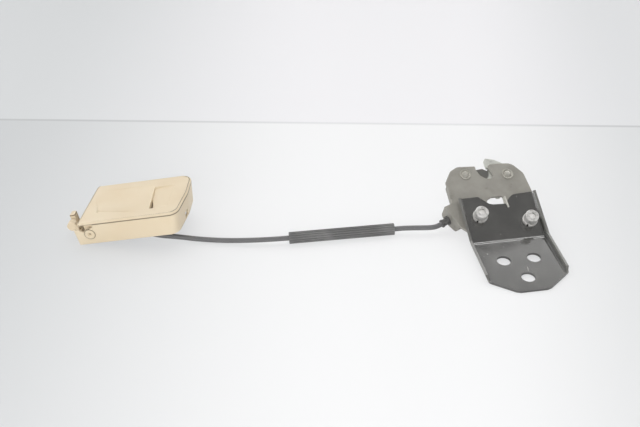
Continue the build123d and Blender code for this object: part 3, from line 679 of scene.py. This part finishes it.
def sink_of_lid(x, y, edge):
    """How deep the top lies under its plain level."""
    sink = 0.0
    if x <= edge:
        bowl = max(1.0 - ((x - paddle_middle[0]) / paddle_reach[0]) ** 2, 0.0)
        bowl *= max(1.0 - ((y - paddle_middle[1]) / paddle_reach[1]) ** 2, 0.0)
        inside = y - front_line(x)
        sink = (paddle_sink * bowl + valley_sink(x) * (1.0 - ramp(inside, 0.4, 11.0))) * ramp(inside, -0.15, 0.3)
        sink += notch_depth * exp(-((x - notch_place[0]) ** 2 + (y - notch_place[1]) ** 2) / notch_spread)
    elif x < scoop_end:
        share = (x - edge) / (scoop_end - edge)
        rows = ramp(y, scoop_rows[0], scoop_rows[1]) * (1.0 - ramp(y, scoop_rows[2], scoop_rows[3]))
        start = scoop_sink[0] + (scoop_sink[1] - scoop_sink[0]) * (y - scoop_front) / scoop_width
        sink = (start * (1.0 - share) ** 1.2 + scoop_rim * share) * rows
        if slot_rows[0] < y < slot_rows[1]:
            width = slot_width * (1.0 - (y - slot_rows[0]) / (slot_rows[1] - slot_rows[0])) ** 0.8
            sink += slot_sink * (1.0 - ramp(x - edge, width - 0.4, width))
    return sink


def lay_lid_top():
    """The new top face, as rows of points from the hinge end to the scoop's end."""
    form = bmesh.new()
    rows = []
    depths = [lid_roll + (lid_width - 2 * lid_roll) * k / lid_rows for k in range(lid_rows + 1)]
    for y in depths:
        left, left_inset = lid_side(y, left_foot + lid_roll, left_lean, *left_rounds)
        if y < bulge_row:
            right, right_inset = lid_side(y, right_foot - lid_roll, right_lean, *right_rounds)
        else:
            right, right_inset = lid_side(y, far_foot - lid_roll, far_lean, *right_rounds)
        edge = edge_start - (y - edge_row) * edge_lean
        spots = [left + left_inset + (edge - left - left_inset) * k / 70 for k in range(71)]
        spots += [edge + 0.12 + (scoop_end - edge - 0.12) * k / 36 for k in range(37)]
        spots += [scoop_end + 0.15 + (right - right_inset - scoop_end - 0.15) * k / 10 for k in range(11)]
        rows.append([form.verts.new(handle_frame @ (Vector((
            x, y, lid_top - sink_of_lid(x, y, edge))) / 1000.0)) for x in spots])
    for near, far in zip(rows, rows[1:]):
        for k in range(len(near) - 1):
            form.faces.new((near[k], near[k + 1], far[k + 1], far[k]))
    return form


def is_old_top(middle, way):
    """Whether a face of the plain lever belongs to its top, its dish or its scoop."""
    if way.z > 0.96 and middle.z > 21.0 and 6.9 < middle.x < 109.0 and 1.6 < middle.y < 66.4:
        return True
    in_scoop = 60.0 < middle.x < 94.6 and 13.9 < middle.y < 51.2 and 14.6 < middle.z < 23.99
    return in_scoop and way.z > -0.3


lever = reshaped("release_lever", "lever", handle_frame, beige_moulding, lambda point: point)
form = bmesh.new()
form.from_mesh(lever.data)
to_handle = handle_frame.inverted()
old = [face for face in form.faces if is_old_top(
    to_handle @ face.calc_center_median() * 1000.0, to_handle.to_3x3() @ face.normal)]
bmesh.ops.delete(form, geom=old, context="FACES")
form.to_mesh(lever.data)
form.free()
top_form = lay_lid_top()
top_mesh = bpy.data.meshes.new("lever_top")
top_form.to_mesh(top_mesh)
top_form.free()
top_mesh.materials.append(beige_moulding)
top_mesh.polygons.foreach_set("use_smooth", [True] * len(top_mesh.polygons))
top_mesh.set_sharp_from_angle(angle=radians(35.0))
lever_top = bpy.data.objects.new("lever_top", top_mesh)
bpy.context.scene.collection.objects.link(lever_top)
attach(lever_top, "lever")


# The table: a pale board with a second one behind it, butted along a line that runs a little askew. Both are
# painted brightest round the part and darker to the sides, a painted pool of light, and a pale wall stands far
# behind.
table_height = -0.0020332
joint_offset = 0.2848
joint_slope = 0.2075
wall_distance = 1.6
wall_height = 0.5
table_half = 3.0
table_front = -2.5
table_middle = (0.925, 0.928, 0.935, 1.0)
table_side = (0.630, 0.645, 0.655, 1.0)
board_middle = (0.900, 0.895, 0.915, 1.0)
board_side = (0.690, 0.705, 0.715, 1.0)
joint_dark = (0.55, 0.56, 0.57, 1.0)
table_evenness = 0.7
wall_white = (0.90, 0.90, 0.91, 1.0)


def flat_sheet(name, corners, finish):
    """One flat sheet of the surroundings."""
    mesh = bpy.data.meshes.new(name)
    mesh.from_pydata(corners, [], [(0, 1, 2, 3)])
    mesh.materials.append(finish)
    surface = bpy.data.objects.new(name, mesh)
    bpy.context.scene.collection.objects.link(surface)
    return surface


table_finish, place = new_finish("table_top")
ahead_of_joint = place.node("SeparateXYZ", None, {0: place}, out=1)
along = place.node("SeparateXYZ", None, {0: place}, out=0)
behind = ahead_of_joint + along * joint_slope - joint_offset
across_table = along - ahead_of_joint * 0.29
spread = 1.0 + ahead_of_joint.at_least(-0.2) * 0.9
# Painted fall-off of light: the boards' colour darkens towards the left and the right.
left_side = (0.0 - across_table - 0.16 * spread).between(0.0, 0.42)
right_side = (across_table + 0.06).between(0.0, 0.26)
light_falloff = left_side.at_least(right_side * 0.72)
board = behind.between(0.0, 0.0008)
joint = (1.0 - behind.size().between(0.0009, 0.0035)) * (0.35 + light_falloff * 0.65)
surface = board.blend(light_falloff.blend(table_middle, table_side), light_falloff.blend(board_middle, board_side))
surface = joint.blend(surface, joint_dark)
board_shader = place.node("BsdfPrincipled", None, {"Base Color": surface, "Roughness": 0.5})
even = place.node("Emission", None, {"Color": surface, "Strength": 1.0})
seen = place.node("LightPath", out=0)
both = place.node("MixShader", None, {0: seen * table_evenness, 1: board_shader, 2: even})
place.node("OutputMaterial", None, {"Surface": both})
flat_sheet("table", [
    (-table_half, table_front, table_height), (table_half, table_front, table_height),
    (table_half, wall_distance, table_height), (-table_half, wall_distance, table_height)], table_finish)

wall_finish, place = new_finish("wall_paint")
close_finish(wall_finish, place, grain(place, 1.5).blend(wall_white, board_middle), 0.8)
flat_sheet("wall", [
    (-table_half, wall_distance, table_height), (table_half, wall_distance, table_height),
    (table_half, wall_distance, wall_height), (-table_half, wall_distance, wall_height)], wall_finish)


# Light: a pale room that is bright up to a man's height and dim at the ceiling, two slim tubes under it, and wide
# soft boxes over the part and beside the camera.
room_bright = 1.35
room_ceiling = 0.42
room_front = 0.85
tube_glow = 6.0
tube_climbs = (0.98, 1.22)
tube_half = (0.015, 0.035)
ceiling_climb = (0.74, 0.92)
front_climb = (2.7, 2.95)

room = bpy.data.worlds.new("pale_room")
room.use_nodes = True
room.node_tree.nodes.clear()
sky = Link(room.node_tree)
way = sky.node("TexCoord", out=0)
up = sky.node("SeparateXYZ", None, {0: way}, out=2)
back = sky.node("SeparateXYZ", None, {0: way}, out=1)
climb = sky.sum_of("ARCTAN2", up, back)
ceiling = climb.between(*ceiling_climb)
front = climb.between(*front_climb)
near_tube, far_tube = [1.0 - (climb - middle).size().between(*tube_half) for middle in tube_climbs]
tubes = near_tube.at_least(far_tube)
level = (1.0 - ceiling) * room_bright + ceiling * (1.0 - front) * room_ceiling
level = level + front * room_front + tubes * tube_glow
glow = sky.node("Background", None, {"Color": (1.0, 0.995, 0.985, 1.0), "Strength": level})
sky.node("OutputWorld", None, {"Surface": glow})
bpy.context.scene.world = room


def soft_box(name, place, target, size, power):
    """A soft box that points at the target and isn't seen in gloss."""
    lamp = bpy.data.lights.new(name, "AREA")
    lamp.shape = "RECTANGLE"
    lamp.size, lamp.size_y = size
    lamp.energy = power
    box = bpy.data.objects.new(name, lamp)
    box.location = place
    box.rotation_euler = (Vector(target) - Vector(place)).to_track_quat("-Z", "Y").to_euler()
    box.visible_glossy = False
    bpy.context.scene.collection.objects.link(box)
    return box


soft_box("top_light", (-0.1, 0.35, 1.3), (-0.15, 0.08, 0.0), (1.6, 1.0), 1.1)
soft_box("front_light", (-0.75, -1.2, 0.6), (-0.15, 0.05, 0.0), (1.2, 0.8), 12.0)

bpy.context.scene.view_settings.view_transform = "Standard"
